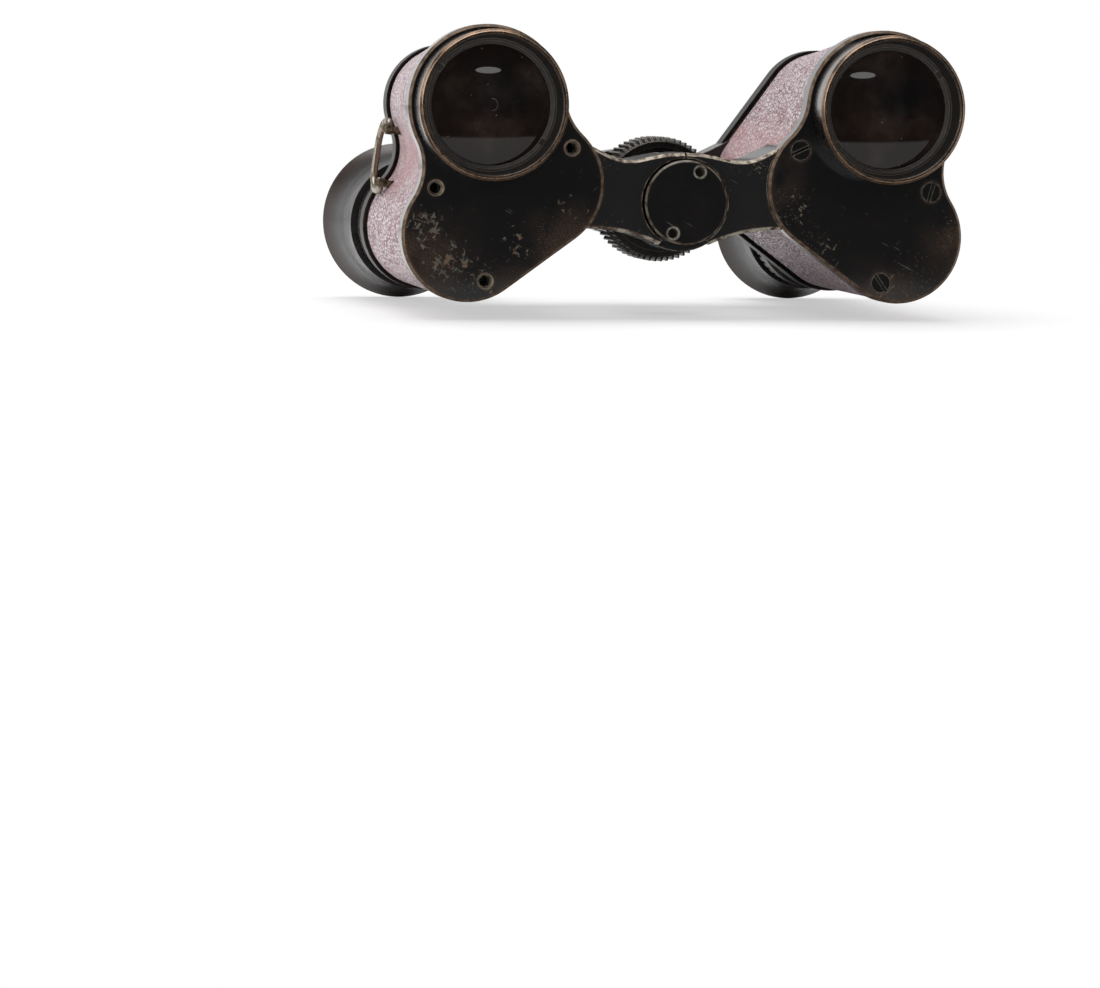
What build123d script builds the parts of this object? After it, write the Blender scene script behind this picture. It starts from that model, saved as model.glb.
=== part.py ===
from build123d import *
import os
from math import atan2, cos, degrees, pi, radians, sin, sqrt

# Centre-focus prism binoculars, in millimetres.
# +Z is up, the objectives face -Y, the eyepieces face +Y and the hinge axis runs along Y.
# Places across the glass are (x, z) from the hinge axis; depths run back from the front
# cover's face.  The origin is on the surface it stands on, under the middle of its box.

# ---- optical axes of one half
eyepiece_x = 37.0               # half the widest eye spacing
eyepiece_drop = 5.7             # eyepiece axis below the hinge axis
front_prism_shift = 14.5        # eyepiece axis to the inner axis
front_prism_angle = 143.5
rear_prism_shift = 15.5         # inner axis to the objective axis
rear_prism_angle = 56.6

# ---- outlines: radii about the objective, inner and eyepiece axes
objective_border = 0.87         # cover's metal outside the objective's ring
front_inner_r = 11.2
front_eyepiece_r = 11.1
front_waist_r = 9.5             # hollow curve between two lobes
rear_objective_r = 10.3
rear_inner_r = 11.1
rear_eyepiece_r = 11.15
rear_waist_r = 8.0

# ---- housing and its covers
front_cover_depth = 3.4
front_cover_face = 1.6
front_cover_rim = 1.3
front_cover_bevel = 0.45
front_cover_lip = 0.3           # cover's edge stands this far outside the leather
housing_length = 40.6
housing_wall = 1.2
leather_thickness = 0.8
leather_bond = 0.05             # glue line between leather and metal
leather_start = 0.2             # leather's edge behind the front cover
bare_lip = 1.5                  # uncovered metal ahead of the rear cover
shelf_start = 15.6              # prism shelf behind the housing's front edge
shelf_thickness = 3.5
shelf_window_r = 6.8
rear_cover_depth = 4.0
rear_cover_face = 1.6
rear_cover_rim = 1.2
rear_cover_bevel = 0.5
rear_cover_lip = 0.6

# ---- cover screws
front_screws = ((19.6, 8.9), (42.5, 2.1), (34.0, -13.3))
rear_screws = ((33.6, 22.3), (18.7, 0.6), (39.1, 10.3))
screw_head_r = 1.65
screw_head_depth = 1.0
screw_shank_r = 0.85
screw_length = 6.0
screw_slot_width = 0.5
screw_slot_depth = 0.45
first_slot_angle = 25.0         # slots stop where the screws grew tight
slot_angle_step = 50.0
screw_play = 0.1
screw_boss_r = 1.9
screw_boss_length = 5.6
boss_floor = 1.0
empty_hole_mouth_r = 1.45       # countersunk holes that have lost their screws

# ---- prisms
prism_half_width = 7.2
prism_base_edge = 0.6           # ground edge between the base and each roof face
prism_ridge_cut = 0.8           # ridge ground flat by this much
strap_width = 3.2
strap_thickness = 0.4
strap_play = 0.1

# ---- objective
lens_seat_r = 10.95
lens_play = 0.05
ring_wall = 1.48                # from the lens seat to the ring's outside
ring_projection = 6.4
ring_mouth_flare = 0.55
ring_edge = 0.4
ring_lip = 0.15
cell_wall = 0.45
cell_fit = 0.05
cell_length = 9.4
cell_shoulder = 0.75            # what the lens rests on
retainer_depth = 3.1            # behind the ring's rim
retainer_thickness = 1.0
retainer_width = 0.95
retainer_bevel = 0.5
retainer_slot_width = 1.3
crown_edge = 1.6
crown_sag = 1.2
cement = 0.02
cemented_sag = 0.8
flint_edge = 1.5
flint_rear_sag = 0.4

# ---- hinge
hub_r = 8.3
hub_gap = 0.3                   # round the other half's knuckle
face_gap = 0.2                  # between faces that turn on each other
running_gap = 0.06              # radial, on the hinge tube
fixed_fit = 0.02                # radial, for pieces held fast
arm_setback = 0.9               # arm's face behind the cover's face
collar_depth = 2.7
collar_r = 7.4
knuckle_length = 4.4
rear_knuckle_length = 2.9
arm_edge = 0.5
collar_seam = 0.15              # half the seam over the hinge
stop_half_angle = 31.5          # each arm ends this far from straight down
arm_top = ((6.1, 7.55), (10.2, 7.0), (14.7, 8.6), (19.0, 10.5))
arm_bottom = ((20.0, -4.8), (12.3, -4.75), (7.6, -5.8))
arm_top_angle = 81.0            # where the arm's edges leave the hub
arm_bottom_angle = -57.0
tube_r = 4.0
tube_bore_r = 2.6
tube_end = 0.4                  # tube's rear end past the last knuckle
cap_r = 7.1
cap_projection = 0.3            # ahead of the front cover's face
cap_bevel = 0.3
cap_spigot_length = 4.5
spanner_hole_r = 0.85
spanner_ring_r = 1.15
spanner_hole_pitch_r = 5.6
spanner_hole_angle = 66.5
spanner_hole_depth = 1.6
spanner_ring_depth = 0.12

# ---- focusing
wheel_start = 19.9
wheel_width = 9.8
wheel_r = 10.75
wheel_face_r = 9.9
wheel_teeth = 64
tooth_depth = 0.75
tooth_gap = 0.5                 # width of a groove at its bottom
wheel_cover_r = 8.9
wheel_dish_depth = 0.3
wheel_wall = 1.2
wheel_groove_r = 6.2
sleeve_r = 5.5
axial_gap = 0.1
rod_gap = 0.08
rod_lead = 4.0                  # rod ahead of its key
key_r = 0.8
key_reach = 5.9
key_side_gap = 0.06
focus_in = 2.0
focus_out = 3.5
key_end_gap = 0.15
bridge_gap = 0.9                # bridge to rear hinge face at closest focus
bridge_thickness = 2.9
bridge_hub_r = 6.0
bridge_link_half = 3.3
bridge_ring_r = 10.6
rod_nose_r = 2.0
nut_r = 4.6
nut_thickness = 2.2
nut_slot = 0.9
nut_round = 0.6

# ---- eyepieces
tube_outer_r = 7.6
tube_wall = 0.7
sliding_fit = 0.06
guide_length = 8.5
guide_wall = 0.6
tube_reach_in = 10.0            # ahead of the rear cover's face
tube_reach_out = 18.0           # behind it
flange_r = 10.0
flange_thickness = 1.0
flange_gap = 1.0                # behind the bridge
cup_base_r = 11.6
cup_base_thickness = 1.2
cup_neck_r = 11.45
cup_waist = (0.9, 11.76)        # behind the tube's end, and radius, where the flare begins
cup_flare = (5.2, 12.75)
cup_rim_r = 14.1
cup_overhang = 8.2              # rim behind the tube's end
cup_lip = 0.7
cup_rim_round = 0.3
cup_aperture_r = 6.2
cup_web = 2.2
cup_dish = 3.4                  # flat round the aperture
dioptre_ring_r = 11.05
dioptre_ring_length = 5.2
dioptre_travel = 1.2
dioptre_ring_bevel = 0.3
dioptre_grip_width = 2.2
dioptre_flutes = 48
flute_r = 0.32
ocular_wall = 0.65
field_lens_setback = 4.0        # from the tube's front
field_lens_thickness = 3.4
field_lens_sag = 1.3
eye_lens_setback = 0.8          # from the tube's rear
eye_lens_thickness = 3.6
eye_lens_sag = 1.2
nearly_flat = 0.01
stop_ring_setback = 16.0        # from the tube's rear
stop_ring_thickness = 1.0
stop_ring_bore_r = 4.6

# ---- strap bails
bail_x = 45.6
bail_depth = 36.0
bail_height = 6.65              # middle of the loop above the hinge axis
bail_tilt = 8.2                 # degrees, its lower end farther out, as the housing's waist is
bail_half_height = 6.1
bail_reach = 7.5
bail_lean = 2.0                 # degrees outwards from straight back
bail_wire_r = 0.6
bail_corner_r = 4.5
bail_bend_r = 0.9
bail_pin = 2.3                  # length of the bent-in ends
lug_thickness = 1.3
lug_r = 1.15
lug_hole_gap = 0.08
lug_root = 4.4                  # from the pivot into the housing's wall
lug_side_gap = 0.15


def sag_at(radius, edge_radius, edge_sag):
    """How far a lens face has fallen away at a radius, for its fall at the edge."""
    sphere_r = (edge_radius**2 + edge_sag**2) / (2 * edge_sag)
    return sphere_r - sqrt(sphere_r**2 - radius**2)


# ---- worked out from the above
cell_r = lens_seat_r + cell_wall
cell_bore_r = lens_seat_r - cell_shoulder
retainer_bore_r = lens_seat_r - retainer_width
ring_r = lens_seat_r + ring_wall
ring_mouth_r = lens_seat_r + ring_mouth_flare
front_objective_r = ring_r + objective_border
housing_start = front_cover_depth
housing_inset = leather_thickness + leather_bond
cavity_inset = housing_inset + housing_wall
housing_end = housing_start + housing_length
body_end = housing_end + rear_cover_depth
shelf_front = housing_start + shelf_start
shelf_rear = shelf_front + shelf_thickness
collar_end = arm_setback + collar_depth - face_gap
front_knuckle = arm_setback + collar_depth
second_knuckle = front_knuckle + knuckle_length + face_gap
front_arm_end = second_knuckle + knuckle_length
rear_arm_start = body_end - 2 * rear_knuckle_length - face_gap
rear_second_knuckle = body_end - rear_knuckle_length
wheel_end = wheel_start + wheel_width
tooth_pitch = 2 * pi * wheel_r / wheel_teeth
key_depth = wheel_start + wheel_wall + key_end_gap + key_r + focus_in
bridge_start = body_end + focus_in + bridge_gap
bridge_end = bridge_start + bridge_thickness
eyepiece_tube_front = body_end - tube_reach_in
eyepiece_tube_rear = body_end + tube_reach_out
left_cup_base = bridge_end + flange_gap + flange_thickness
dioptre_ring_start = bridge_end + face_gap
dioptre_ring_end = dioptre_ring_start + dioptre_ring_length
right_cup_base = dioptre_ring_end + dioptre_travel + axial_gap
cup_rim_end = eyepiece_tube_rear + cup_overhang
eye_lens_rear = eyepiece_tube_rear - eye_lens_setback
field_lens_front = eyepiece_tube_front + field_lens_setback
stop_ring_start = eyepiece_tube_rear - stop_ring_setback
middle_depth = (cup_rim_end - ring_projection) / 2
hinge_height = eyepiece_drop + cup_rim_r
leather_end = housing_end - bare_lip
cell_end = cell_length - ring_projection
retainer_front = retainer_depth - ring_projection
retainer_rear = retainer_front + retainer_thickness
lens_r = lens_seat_r - lens_play
crown_front_edge = retainer_rear + crown_sag - sag_at(retainer_bore_r, lens_r, crown_sag) + cement
crown_rear_edge = crown_front_edge + crown_edge
flint_rear_edge = crown_rear_edge + cement + flint_edge
lens_shoulder = flint_rear_edge + flint_rear_sag - sag_at(cell_bore_r, lens_r, flint_rear_sag) + cement
sleeve_bore_r = tube_outer_r - tube_wall
ocular_bore_r = sleeve_bore_r - sliding_fit - ocular_wall
bridge_layer = (bridge_thickness - face_gap) / 2
nut_start = bridge_end + axial_gap
nut_end = nut_start + nut_thickness
lug_offset = bail_half_height - bail_wire_r - lug_side_gap - lug_thickness / 2

eyepiece_axis = Vector(eyepiece_x, -eyepiece_drop)
inner_axis = eyepiece_axis + Vector(front_prism_shift, 0).rotate(Axis.Z, front_prism_angle)
objective_axis = inner_axis + Vector(rear_prism_shift, 0).rotate(Axis.Z, rear_prism_angle)
lobe_centres = (objective_axis, inner_axis, eyepiece_axis)

os.makedirs("parts", exist_ok=True)
sides = (("left", -1), ("right", 1))


def at(depth):
    """Plane across the glass at a depth; its x is +X and its y is +Z."""
    return Plane(origin=(0, depth - middle_depth, hinge_height), x_dir=(1, 0, 0), z_dir=(0, -1, 0))


def along(centre, side):
    """Plane through an optical axis for turned profiles; its x is depth and its y is radius."""
    origin = (side * centre.X, -middle_depth, hinge_height + centre.Y)
    return Plane(origin=origin, x_dir=(0, 1, 0), z_dir=(1, 0, 0))


def axis_of(centre, side):
    """The optical axis itself."""
    return Axis((side * centre.X, -middle_depth, hinge_height + centre.Y), (0, 1, 0))


def on_side(point, side):
    """A point of the right half, or its mirror image on the left half."""
    return (side * point[0], point[1]) if isinstance(point, tuple) else (side * point.X, point.Y)


def joining_curve(start, start_r, end, end_r, waist_r):
    """Where a curve that joins two lobes leaves the first and meets the second.

    With waist_r it is a hollow arc and the third value is the arc's centre; without, it is
    the straight line that touches both."""
    span = (end - start).length
    forward = (end - start).normalized()
    outward = Vector(forward.Y, -forward.X)
    if waist_r is None:
        lean = (start_r - end_r) / span
        normal = forward * lean + outward * sqrt(1 - lean**2)
        return start + normal * start_r, end + normal * end_r, None
    reach_1 = start_r + waist_r
    reach_2 = end_r + waist_r
    run = (reach_1**2 - reach_2**2 + span**2) / (2 * span)
    centre = start + forward * run + outward * sqrt(reach_1**2 - run**2)
    leave = start + (centre - start).normalized() * start_r
    meet = end + (centre - end).normalized() * end_r
    return leave, meet, centre


def outline(depth, side, radii, waists, inset=0.0):
    """Closed outline of a half: three lobes, with a waist arc or a straight line between."""
    radii = [radius - inset for radius in radii]
    waists = [None if waist is None else waist + inset for waist in waists]
    middle = (objective_axis + inner_axis + eyepiece_axis) / 3
    curves = []
    for i in range(3):
        j = (i + 1) % 3
        curves.append(joining_curve(lobe_centres[i], radii[i], lobe_centres[j], radii[j], waists[i]))
    with BuildSketch(at(depth)) as sketch:
        with BuildLine():
            for i in range(3):
                lobe = lobe_centres[i]
                crown = lobe + (lobe - middle).normalized() * radii[i]
                start = curves[i - 1][1]
                leave, meet, centre = curves[i]
                ThreePointArc(on_side(start, side), on_side(crown, side), on_side(leave, side))
                if centre is None:
                    Line(on_side(leave, side), on_side(meet, side))
                else:
                    chord_middle = (leave + meet) / 2
                    hollow = centre + (chord_middle - centre).normalized() * waists[i]
                    ThreePointArc(on_side(leave, side), on_side(hollow, side), on_side(meet, side))
        make_face()
    return sketch.sketch


def front_outline(depth, side, inset=0.0):
    radii = (front_objective_r, front_inner_r, front_eyepiece_r)
    return outline(depth, side, radii, (front_waist_r, None, front_waist_r), inset)


def rear_outline(depth, side, inset=0.0):
    radii = (rear_objective_r, rear_inner_r, rear_eyepiece_r)
    return outline(depth, side, radii, (None, None, rear_waist_r), inset)


def body_form(side, inset=0.0):
    """The housing's tapering form; inset 0 is the leather's outer face."""
    with BuildPart() as form:
        front = front_outline(housing_start, side, inset + front_cover_lip)
        rear = rear_outline(housing_end, side, inset + rear_cover_lip)
        loft([front, rear], ruled=True)
    return form.part


def slab(start, end):
    """A block that holds everything between two depths."""
    with BuildPart() as block:
        with BuildSketch(at(start)):
            Rectangle(300, 300)
        extrude(amount=start - end)
    return block.part


def ring(centre, side, outer_r, inner_r, start, end):
    """A plain turned ring on an optical axis."""
    with BuildPart() as turned:
        with BuildSketch(at(start)):
            with Locations(on_side(centre, side)):
                Circle(outer_r)
                if inner_r:
                    Circle(inner_r, mode=Mode.SUBTRACT)
        extrude(amount=start - end)
    return turned.part


def turned_piece(centre, side, points):
    """A turned piece from a closed profile of (depth, radius) points."""
    with BuildPart() as turned:
        with BuildSketch(along(centre, side)):
            with BuildLine():
                Polyline(*points, close=True)
            make_face()
        revolve(axis=axis_of(centre, side))
    return turned.part


def bulge_point(front, radius, sag):
    """A point half-way out on a lens face whose middle is at front and whose edge lies sag behind."""
    half_sag = sag_at(radius / 2, radius, abs(sag))
    return (front + (half_sag if sag > 0 else -half_sag), radius / 2)


def lens(centre, side, radius, front, rear, front_sag, rear_sag):
    """A lens; each sag is how far that face's edge lies behind its middle."""
    with BuildPart() as glass:
        with BuildSketch(along(centre, side)):
            with BuildLine():
                Line((front, 0), (rear, 0))
                rear_edge = (rear + rear_sag, radius)
                front_edge = (front + front_sag, radius)
                ThreePointArc((rear, 0), bulge_point(rear, radius, rear_sag), rear_edge)
                Line(rear_edge, front_edge)
                ThreePointArc(front_edge, bulge_point(front, radius, front_sag), (front, 0))
            make_face()
        revolve(axis=axis_of(centre, side))
    return glass.part


def prism_form(side, first, second, shelf_face, direction):
    """A roof prism standing on the shelf; its base spans both axes and its ends are round.

    direction is -1 for the prism ahead of the shelf and +1 for the one behind it."""
    span = (second - first).length
    half_length = span / 2 + prism_half_width
    height = half_length + prism_base_edge - prism_ridge_cut
    middle = on_side((first + second) / 2, side)
    line = Vector(*on_side(second, side)) - Vector(*on_side(first, side))
    base = Plane(
        origin=(middle[0], shelf_face - middle_depth, hinge_height + middle[1]),
        x_dir=(line.X, 0, line.Y),
        z_dir=(0, direction, 0),
    )
    with BuildPart() as prism:
        with BuildSketch(base):
            SlotOverall(2 * half_length, 2 * prism_half_width)
        extrude(amount=height)
        with BuildSketch(Plane(origin=base.origin, x_dir=base.x_dir, z_dir=-base.y_dir)):
            with BuildLine():
                Polyline(
                    (-half_length, 0),
                    (half_length, 0),
                    (half_length, prism_base_edge),
                    (prism_ridge_cut, height),
                    (-prism_ridge_cut, height),
                    (-half_length, prism_base_edge),
                    close=True,
                )
            make_face()
        extrude(amount=prism_half_width, both=True, mode=Mode.INTERSECT)
    return prism.part, base, height


def polar(length, angle):
    """A point at a distance and an angle from the hinge axis."""
    return Vector(length, 0).rotate(Axis.Z, angle)


def arm_sketch(depth, side):
    """One hinge arm with its round hub, as seen from the front."""
    top = polar(hub_r, arm_top_angle)
    bottom = polar(hub_r, arm_bottom_angle)
    with BuildSketch(at(depth)) as sketch:
        with BuildLine():
            upper = Spline(*[on_side(p, side) for p in (top, *arm_top)])
            Line(upper @ 1, on_side(arm_bottom[0], side))
            lower = Spline(*[on_side(p, side) for p in (*arm_bottom, bottom)])
            Line(lower @ 1, (0, 0))
            Line((0, 0), upper @ 0)
        make_face()
        Circle(hub_r)
    return sketch.sketch


def arm_block(side, start, end, open_face):
    """A hinge arm between two depths, its edges broken on the face that shows."""
    with BuildPart() as block:
        extrude(arm_sketch(start, side), amount=end - start, dir=(0, 1, 0))
        face_y = open_face - middle_depth
        chamfer(block.edges().filter_by(lambda edge: abs(edge.center().Y - face_y) < 0.01), arm_edge)
    return block.part


def hub_disc(side, radius, start, end):
    """A disc round the hinge axis between two depths."""
    return ring(Vector(0, 0), side, radius, 0, start, end)


def hub_sector(side, start, end):
    """The part of a hub's collar that an arm leaves to the other arm and to the stop gap."""
    reach = hub_r + hub_gap
    stop = polar(2 * reach, -90 + stop_half_angle)
    with BuildPart() as sector:
        with BuildSketch(at(start)):
            with BuildLine():
                points = ((collar_seam, 2 * reach), (collar_seam, 0), (0, 0), stop)
                far = ((-2 * reach, -2 * reach), (-2 * reach, 2 * reach))
                Polyline(*[on_side(p, side) for p in (*points, *far)], close=True)
            make_face()
            Circle(reach, mode=Mode.INTERSECT)
        extrude(amount=start - end)
    return sector.part


def screw_set(side, places, face, direction):
    """Slotted cheese-head screws; direction is +1 where they go in towards the eyepieces."""
    with BuildPart() as screws:
        with BuildSketch(at(face)):
            with Locations(*[on_side(p, side) for p in places]):
                Circle(screw_head_r)
        extrude(amount=-direction * screw_head_depth)
        with BuildSketch(at(face)):
            with Locations(*[on_side(p, side) for p in places]):
                Circle(screw_shank_r)
        extrude(amount=-direction * screw_length)
        with BuildSketch(at(face)):
            for index, place in enumerate(places):
                turn = first_slot_angle + slot_angle_step * index
                with Locations(Location((*on_side(place, side), 0), (0, 0, turn))):
                    Rectangle(3 * screw_head_r, screw_slot_width)
        extrude(amount=-direction * screw_slot_depth, mode=Mode.SUBTRACT)
    return screws.part


def screw_bosses(side, places, start, end, form):
    """Round bosses for the cover screws, kept inside a form."""
    with BuildPart() as bosses:
        with BuildSketch(at(start)):
            with Locations(*[on_side(p, side) for p in places]):
                Circle(screw_boss_r)
        extrude(amount=start - end)
        add(form, mode=Mode.INTERSECT)
    return bosses.part


def screw_holes(side, places, radius, start, end):
    """Straight holes on the cover screws' axes."""
    with BuildPart() as holes:
        with BuildSketch(at(start)):
            with Locations(*[on_side(p, side) for p in places]):
                Circle(radius)
        extrude(amount=start - end)
    return holes.part


def cover_block(sketch, start, end):
    """A straight block on an outline, between two depths."""
    with BuildPart() as block:
        extrude(sketch, amount=end - start, dir=(0, 1, 0))
    return block.part


def bail_seat(side, shift=0.0):
    """A plane across a bail's pivot, with its x outwards, at a place along the pivot."""
    tilt = radians(bail_tilt)
    pivot = Vector(-side * sin(tilt), 0, cos(tilt))
    outwards = Vector(side * cos(tilt), 0, sin(tilt))
    centre = Vector(side * bail_x, bail_depth - middle_depth, hinge_height + bail_height)
    return Plane(origin=centre + pivot * shift, x_dir=outwards, z_dir=pivot)


# ---- the two halves' housings: one casting each, with hinge arms, prism shelf and bail lugs
hinge_axis = Vector(0, 0)
room_r = hub_r + hub_gap
for name, side in sides:
    form = body_form(side, housing_inset)
    cavity = body_form(side, cavity_inset)
    with BuildPart() as housing:
        add(form & slab(housing_start, leather_end))
        add(body_form(side, leather_bond) & slab(leather_end, housing_end))
        add(arm_block(side, arm_setback, front_arm_end, arm_setback))
        add(arm_block(side, rear_arm_start, body_end, body_end))
        # each half keeps its own knuckles and makes room for the other half's
        if side < 0:
            first_end = front_knuckle + knuckle_length
            rear_first_end = rear_arm_start + rear_knuckle_length
            add(hub_disc(side, room_r, first_end, front_arm_end), mode=Mode.SUBTRACT)
            add(hub_disc(side, room_r, rear_first_end, body_end), mode=Mode.SUBTRACT)
        else:
            add(hub_disc(side, room_r, collar_end, second_knuckle), mode=Mode.SUBTRACT)
            add(hub_disc(side, room_r, rear_arm_start, rear_second_knuckle), mode=Mode.SUBTRACT)
        add(hub_sector(side, arm_setback, front_knuckle if side < 0 else collar_end), mode=Mode.SUBTRACT)
        add(hub_disc(side, collar_r, arm_setback, front_knuckle), mode=Mode.SUBTRACT)
        bore = tube_r + (fixed_fit if side < 0 else running_gap)
        add(hub_disc(side, bore, arm_setback, body_end), mode=Mode.SUBTRACT)
        # the covers' edges stand between the arms and the lobes
        front_edge = front_outline(arm_setback, side, -leather_bond)
        add(cover_block(front_edge, arm_setback, housing_start), mode=Mode.SUBTRACT)
        rear_edge = rear_outline(housing_end, side, -leather_bond)
        add(cover_block(rear_edge, housing_end, body_end), mode=Mode.SUBTRACT)
        # lugs for the strap bail
        for shift in (-lug_offset, lug_offset):
            with BuildSketch(bail_seat(side, shift - lug_thickness / 2)):
                Circle(lug_r)
                Rectangle(lug_root, 2 * lug_r, align=(Align.MAX, Align.CENTER))
                Circle(bail_wire_r + lug_hole_gap, mode=Mode.SUBTRACT)
            extrude(amount=lug_thickness)
        add(cavity & slab(housing_start, shelf_front), mode=Mode.SUBTRACT)
        add(cavity & slab(shelf_rear, housing_end), mode=Mode.SUBTRACT)
        with BuildSketch(at(shelf_front)):
            with Locations(*[on_side(centre, side) for centre in lobe_centres]):
                Circle(shelf_window_r)
        extrude(amount=-shelf_thickness, mode=Mode.SUBTRACT)
        boss_end = housing_start + screw_boss_length
        rear_boss = housing_end - screw_boss_length
        add(screw_bosses(side, front_screws, housing_start, boss_end, form))
        add(screw_bosses(side, rear_screws, rear_boss, housing_end, form))
        hole_r = screw_shank_r + fixed_fit
        hole_end = boss_end - boss_floor
        add(screw_holes(side, front_screws, hole_r, housing_start, hole_end), mode=Mode.SUBTRACT)
        rear_hole = rear_boss + boss_floor
        add(screw_holes(side, rear_screws, hole_r, rear_hole, housing_end), mode=Mode.SUBTRACT)
    housing.part.label = f"{name}_housing"
    export_step(housing.part, f"parts/{name}_housing.step")

    with BuildPart() as leather:
        add(body_form(side) & slab(housing_start + leather_start, leather_end - leather_bond))
        add(body_form(side, leather_thickness), mode=Mode.SUBTRACT)
        arm_spans = (housing_start, front_arm_end + hub_gap), (rear_arm_start - hub_gap, housing_end)
        for start, end in arm_spans:
            extrude(arm_sketch(start, side), amount=end - start, dir=(0, 1, 0), mode=Mode.SUBTRACT)
        for shift in (-lug_offset, lug_offset):
            with BuildSketch(bail_seat(side, shift - lug_thickness / 2 - leather_bond)):
                Rectangle(lug_root, 2 * (lug_r + leather_bond), align=(Align.MAX, Align.CENTER))
            extrude(amount=lug_thickness + 2 * leather_bond, mode=Mode.SUBTRACT)
    leather.part.label = f"{name}_leather"
    export_step(leather.part, f"parts/{name}_leather.step")

    # ---- covers, the front one open for the objective and the rear one for the eyepiece
    with BuildPart() as front_cover:
        add(cover_block(front_outline(0, side), 0, front_cover_depth))
        rim = front_cover.edges().group_by(Axis.Y)[0]
        chamfer(rim, front_cover_bevel)
        hollow = front_outline(front_cover_face, side, front_cover_rim)
        add(cover_block(hollow, front_cover_face, front_cover_depth), mode=Mode.SUBTRACT)
        form = cover_block(front_outline(0, side, front_cover_bevel), 0, front_cover_depth)
        add(screw_bosses(side, front_screws, front_cover_face, front_cover_depth, form))
        cell_hole = ring(objective_axis, side, cell_r + cell_fit, 0, 0, front_cover_depth)
        add(cell_hole, mode=Mode.SUBTRACT)
        hole_r = screw_shank_r + screw_play
        add(screw_holes(side, front_screws, hole_r, 0, front_cover_depth), mode=Mode.SUBTRACT)
        if side > 0:
            head_hole_r = screw_head_r + screw_play
            add(screw_holes(side, front_screws, head_hole_r, 0, screw_head_depth), mode=Mode.SUBTRACT)
        else:
            mouths = front_cover.edges().filter_by(GeomType.CIRCLE).group_by(Axis.Y)[0]
            mouths = mouths.filter_by(lambda edge: abs(edge.radius - hole_r) < 0.01)
            chamfer(mouths, empty_hole_mouth_r - hole_r)
    front_cover.part.label = f"{name}_front_cover"
    export_step(front_cover.part, f"parts/{name}_front_cover.step")

    if side > 0:
        front_screw_set = screw_set(side, front_screws, 0, 1)
        front_screw_set.label = "right_front_cover_screws"
        export_step(front_screw_set, "parts/right_front_cover_screws.step")

    with BuildPart() as rear_cover:
        add(cover_block(rear_outline(housing_end, side), housing_end, body_end))
        rim = rear_cover.edges().group_by(Axis.Y)[-1]
        chamfer(rim, rear_cover_bevel)
        cover_inside = body_end - rear_cover_face
        hollow = rear_outline(housing_end, side, rear_cover_rim)
        add(cover_block(hollow, housing_end, cover_inside), mode=Mode.SUBTRACT)
        form = cover_block(rear_outline(housing_end, side, rear_cover_bevel), housing_end, body_end)
        add(screw_bosses(side, rear_screws, housing_end, cover_inside, form))
        guide_bore_r = tube_outer_r + sliding_fit
        guide_r = guide_bore_r + guide_wall
        guide_start = body_end - guide_length
        add(ring(eyepiece_axis, side, guide_r, 0, guide_start, cover_inside))
        add(ring(eyepiece_axis, side, guide_bore_r, 0, guide_start, body_end), mode=Mode.SUBTRACT)
        add(screw_holes(side, rear_screws, hole_r, housing_end, body_end), mode=Mode.SUBTRACT)
        head_seat = body_end - screw_head_depth
        head_hole_r = screw_head_r + screw_play
        add(screw_holes(side, rear_screws, head_hole_r, head_seat, body_end), mode=Mode.SUBTRACT)
    rear_cover.part.label = f"{name}_rear_cover"
    export_step(rear_cover.part, f"parts/{name}_rear_cover.step")

    rear_screw_set = screw_set(side, rear_screws, body_end, -1)
    rear_screw_set.label = f"{name}_rear_cover_screws"
    export_step(rear_screw_set, f"parts/{name}_rear_cover_screws.step")

    # ---- objective: cell with its stepped outside ring, retaining ring and cemented doublet
    cell = turned_piece(
        objective_axis,
        side,
        (
            (-ring_projection, ring_mouth_r + ring_lip),
            (-ring_projection, ring_r - ring_edge),
            (ring_edge - ring_projection, ring_r),
            (0, ring_r),
            (0, cell_r),
            (cell_end, cell_r),
            (cell_end, cell_bore_r),
            (lens_shoulder, cell_bore_r),
            (lens_shoulder, lens_seat_r),
            (retainer_front, lens_seat_r),
            (ring_lip - ring_projection, ring_mouth_r),
        ),
    )
    cell.label = f"{name}_objective_cell"
    export_step(cell, f"parts/{name}_objective_cell.step")

    with BuildPart() as retaining_ring:
        outer_r = lens_seat_r - fixed_fit
        add(ring(objective_axis, side, outer_r, retainer_bore_r, retainer_front, retainer_rear))
        mouth = retaining_ring.edges().group_by(Axis.Y)[0].sort_by(SortBy.RADIUS)[0]
        chamfer(mouth, retainer_bevel)
        with BuildSketch(at(retainer_front)):
            with Locations(on_side(objective_axis, side)):
                Rectangle(2 * lens_seat_r, retainer_slot_width, rotation=side * 35)
        extrude(amount=-retainer_thickness / 2, mode=Mode.SUBTRACT)
    retaining_ring.part.label = f"{name}_objective_retaining_ring"
    export_step(retaining_ring.part, f"parts/{name}_objective_retaining_ring.step")

    cemented_face = crown_rear_edge + cemented_sag
    crown_front = crown_front_edge - crown_sag
    glass = (crown_front, cemented_face, crown_sag, -cemented_sag)
    crown = lens(objective_axis, side, lens_r, *glass)
    crown.label = f"{name}_objective_crown_lens"
    export_step(crown, f"parts/{name}_objective_crown_lens.step")
    flint_rear = flint_rear_edge + flint_rear_sag
    glass = (cemented_face + cement, flint_rear, -cemented_sag, -flint_rear_sag)
    flint = lens(objective_axis, side, lens_r, *glass)
    flint.label = f"{name}_objective_flint_lens"
    export_step(flint, f"parts/{name}_objective_flint_lens.step")

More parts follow.
